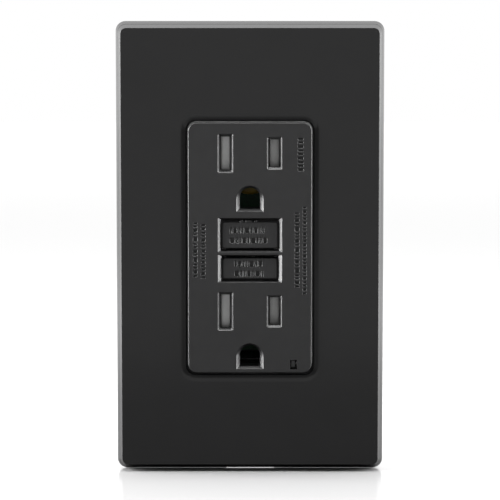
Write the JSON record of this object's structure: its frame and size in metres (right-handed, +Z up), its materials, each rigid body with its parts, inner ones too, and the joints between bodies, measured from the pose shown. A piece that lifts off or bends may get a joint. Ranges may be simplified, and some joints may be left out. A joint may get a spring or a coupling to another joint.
{
  "type": "duplex wall outlet",
  "caption": "Black wall outlet with tamper shutters, residual-current reset and test buttons, and a screwless clip-fit cover plate.",
  "frame": {"origin": "on the wall plane, at the middle of the device, between the two wall-box screws", "axes": "+X right as seen from the room, +Y into the wall, +Z up"},
  "size_m": [0.0716, 0.0353, 0.1202],
  "materials": {
    "cover_plastic": "satin",
    "device_plastic": "fine matte",
    "frame_plastic": "matte",
    "shutter_plastic": "matte",
    "housing_plastic": "matte",
    "bobbin_plastic": "matte",
    "retainer_fibre": "matte",
    "coil_wrap": "satin",
    "board": "satin",
    "lens": "clear",
    "zinc_steel": "zinc plated",
    "brass": "satin",
    "nickel_brass": "nickel plated",
    "ground_green": "green plated",
    "copper": "enamelled winding"
  },
  "bodies": {
    "housing": {"snap_frame": "frame_plastic", "frame_screw_top": "zinc_steel", "frame_screw_bottom": "zinc_steel", "face_cover": "device_plastic", "light_pipe": "lens", "indicator_lamp": "lens", "mounting_strap": "zinc_steel", "mounting_screw_top": "zinc_steel", "mounting_screw_bottom": "zinc_steel", "screw_retainer_top": "retainer_fibre", "screw_retainer_bottom": "retainer_fibre", "middle_housing": "housing_plastic", "hot_contact_bar": "brass", "neutral_contact_bar": "nickel_brass", "ground_contact_upper": "nickel_brass", "ground_contact_lower": "nickel_brass", "test_contact": "brass", "rear_body": "housing_plastic", "circuit_board": "board", "sense_coil": "coil_wrap", "neutral_coil": "coil_wrap", "solenoid_bobbin": "bobbin_plastic", "solenoid_coil": "copper", "solenoid_frame": "zinc_steel", "reset_spring": "zinc_steel", "test_spring": "zinc_steel", "plunger_spring": "zinc_steel", "shutter_spring_upper": "zinc_steel", "shutter_spring_lower": "zinc_steel", "assembly_screw_upper_left": "zinc_steel", "assembly_screw_upper_right": "zinc_steel", "assembly_screw_lower_left": "zinc_steel", "assembly_screw_lower_right": "zinc_steel", "terminal_load_hot": "brass", "terminal_load_neutral": "nickel_brass", "terminal_line_hot": "brass", "terminal_line_neutral": "nickel_brass"},
    "cover_plate": {"wall_plate": "cover_plastic"},
    "reset": {"reset_button": "device_plastic", "reset_pin": "zinc_steel"},
    "test": {"test_button": "device_plastic"},
    "latch": {"latch_block": "bobbin_plastic"},
    "latch_slider": {"latch_plate": "zinc_steel"},
    "plunger": {"plunger": "zinc_steel"},
    "hot_arm": {"hot_contact_arm": "brass"},
    "neutral_arm": {"neutral_contact_arm": "nickel_brass"},
    "shutter_upper_hot": {"shutter_upper_hot": "shutter_plastic"},
    "shutter_upper_neutral": {"shutter_upper_neutral": "shutter_plastic"},
    "shutter_lower_hot": {"shutter_lower_hot": "shutter_plastic"},
    "shutter_lower_neutral": {"shutter_lower_neutral": "shutter_plastic"},
    "screw_load_hot": {"terminal_screw_load_hot": "brass"},
    "clamp_load_hot": {"terminal_clamp_load_hot": "zinc_steel"},
    "screw_load_neutral": {"terminal_screw_load_neutral": "nickel_brass"},
    "clamp_load_neutral": {"terminal_clamp_load_neutral": "zinc_steel"},
    "screw_line_hot": {"terminal_screw_line_hot": "brass"},
    "clamp_line_hot": {"terminal_clamp_line_hot": "zinc_steel"},
    "screw_line_neutral": {"terminal_screw_line_neutral": "nickel_brass"},
    "clamp_line_neutral": {"terminal_clamp_line_neutral": "zinc_steel"},
    "screw_ground": {"ground_screw": "ground_green"},
    "clamp_ground": {"ground_clamp": "zinc_steel"}
  },
  "joints": [
    {"name": "cover_plate_snap_off", "type": "slide", "parent": "housing", "child": "cover_plate", "axis": [0, -1, 0], "range_m": [0, 0.02]},
    {"name": "reset_press", "type": "slide", "parent": "housing", "child": "reset", "axis": [0, 1, 0], "range_m": [0, 0.0022], "stiffness_N_per_m": 300, "springref_m": -0.002, "deforming": ["reset_spring"]},
    {"name": "test_press", "type": "slide", "parent": "housing", "child": "test", "axis": [0, 1, 0], "range_m": [0, 0.0015], "stiffness_N_per_m": 300, "springref_m": -0.002, "deforming": ["test_spring"]},
    {"name": "shutter_upper_hot_slide", "type": "slide", "parent": "housing", "child": "shutter_upper_hot", "axis": [-1, 0, 0], "range_m": [0, 0.0033], "stiffness_N_per_m": 60, "springref_m": -0.002, "deforming": ["shutter_spring_upper"]},
    {"name": "shutter_upper_neutral_slide", "type": "slide", "parent": "housing", "child": "shutter_upper_neutral", "axis": [1, 0, 0], "range_m": [0, 0.0033]},
    {"name": "shutter_lower_hot_slide", "type": "slide", "parent": "housing", "child": "shutter_lower_hot", "axis": [-1, 0, 0], "range_m": [0, 0.0033], "stiffness_N_per_m": 60, "springref_m": -0.002, "deforming": ["shutter_spring_lower"]},
    {"name": "shutter_lower_neutral_slide", "type": "slide", "parent": "housing", "child": "shutter_lower_neutral", "axis": [1, 0, 0], "range_m": [0, 0.0033]},
    {"name": "latch_drop", "type": "slide", "parent": "housing", "child": "latch", "axis": [0, 1, 0], "range_m": [0, 0.001]},
    {"name": "hot_arm_open", "type": "hinge", "parent": "housing", "child": "hot_arm", "pos_m": [0.0086, 0.0123, -0.012], "axis": [-1, 0, 0], "range_deg": [0, 3.72]},
    {"name": "neutral_arm_open", "type": "hinge", "parent": "housing", "child": "neutral_arm", "pos_m": [-0.0086, 0.0123, -0.012], "axis": [-1, 0, 0], "range_deg": [0, 3.72]},
    {"name": "plunger_pull", "type": "slide", "parent": "housing", "child": "plunger", "axis": [0, 0, -1], "range_m": [0, 0.0012], "stiffness_N_per_m": 150, "springref_m": -0.002, "deforming": ["plunger_spring"]},
    {"name": "latch_slider_shift", "type": "slide", "parent": "latch", "child": "latch_slider", "axis": [0, 0, -1], "range_m": [0, 0.0012]},
    {"name": "screw_load_hot_turn", "type": "hinge", "parent": "housing", "child": "screw_load_hot", "pos_m": [0.02, 0.017, 0.016], "axis": [1, 0, 0], "range_deg": [0, 960]},
    {"name": "clamp_load_hot_slide", "type": "slide", "parent": "housing", "child": "clamp_load_hot", "axis": [-1, 0, 0], "range_m": [0, 0.0021]},
    {"name": "screw_load_neutral_turn", "type": "hinge", "parent": "housing", "child": "screw_load_neutral", "pos_m": [-0.02, 0.017, 0.016], "axis": [-1, 0, 0], "range_deg": [0, 960]},
    {"name": "clamp_load_neutral_slide", "type": "slide", "parent": "housing", "child": "clamp_load_neutral", "axis": [1, 0, 0], "range_m": [0, 0.0021]},
    {"name": "screw_line_hot_turn", "type": "hinge", "parent": "housing", "child": "screw_line_hot", "pos_m": [0.02, 0.017, -0.016], "axis": [1, 0, 0], "range_deg": [0, 960]},
    {"name": "clamp_line_hot_slide", "type": "slide", "parent": "housing", "child": "clamp_line_hot", "axis": [-1, 0, 0], "range_m": [0, 0.0021]},
    {"name": "screw_line_neutral_turn", "type": "hinge", "parent": "housing", "child": "screw_line_neutral", "pos_m": [-0.02, 0.017, -0.016], "axis": [-1, 0, 0], "range_deg": [0, 960]},
    {"name": "clamp_line_neutral_slide", "type": "slide", "parent": "housing", "child": "clamp_line_neutral", "axis": [1, 0, 0], "range_m": [0, 0.0021]},
    {"name": "screw_ground_turn", "type": "hinge", "parent": "housing", "child": "screw_ground", "pos_m": [-0.0093, 0.0062, -0.0383], "axis": [0, 0, -1], "range_deg": [0, 540]},
    {"name": "clamp_ground_slide", "type": "slide", "parent": "housing", "child": "clamp_ground", "axis": [0, 0, 1], "range_m": [0, 0.00119]}
  ],
  "couplings": [
    {"joint": "shutter_upper_neutral_slide", "follows": "shutter_upper_hot_slide", "ratio": 1},
    {"joint": "shutter_lower_neutral_slide", "follows": "shutter_lower_hot_slide", "ratio": 1},
    {"joint": "hot_arm_open", "follows": "latch_drop", "rad_per_m": 64.725},
    {"joint": "neutral_arm_open", "follows": "latch_drop", "rad_per_m": 64.725},
    {"joint": "latch_slider_shift", "follows": "plunger_pull", "ratio": 1},
    {"joint": "screw_load_hot_turn", "follows": "clamp_load_hot_slide", "rad_per_m": 7915.8},
    {"joint": "screw_load_neutral_turn", "follows": "clamp_load_neutral_slide", "rad_per_m": 7915.8},
    {"joint": "screw_line_hot_turn", "follows": "clamp_line_hot_slide", "rad_per_m": 7915.8},
    {"joint": "screw_line_neutral_turn", "follows": "clamp_line_neutral_slide", "rad_per_m": 7915.8},
    {"joint": "screw_ground_turn", "follows": "clamp_ground_slide", "rad_per_m": 7915.8}
  ]
}
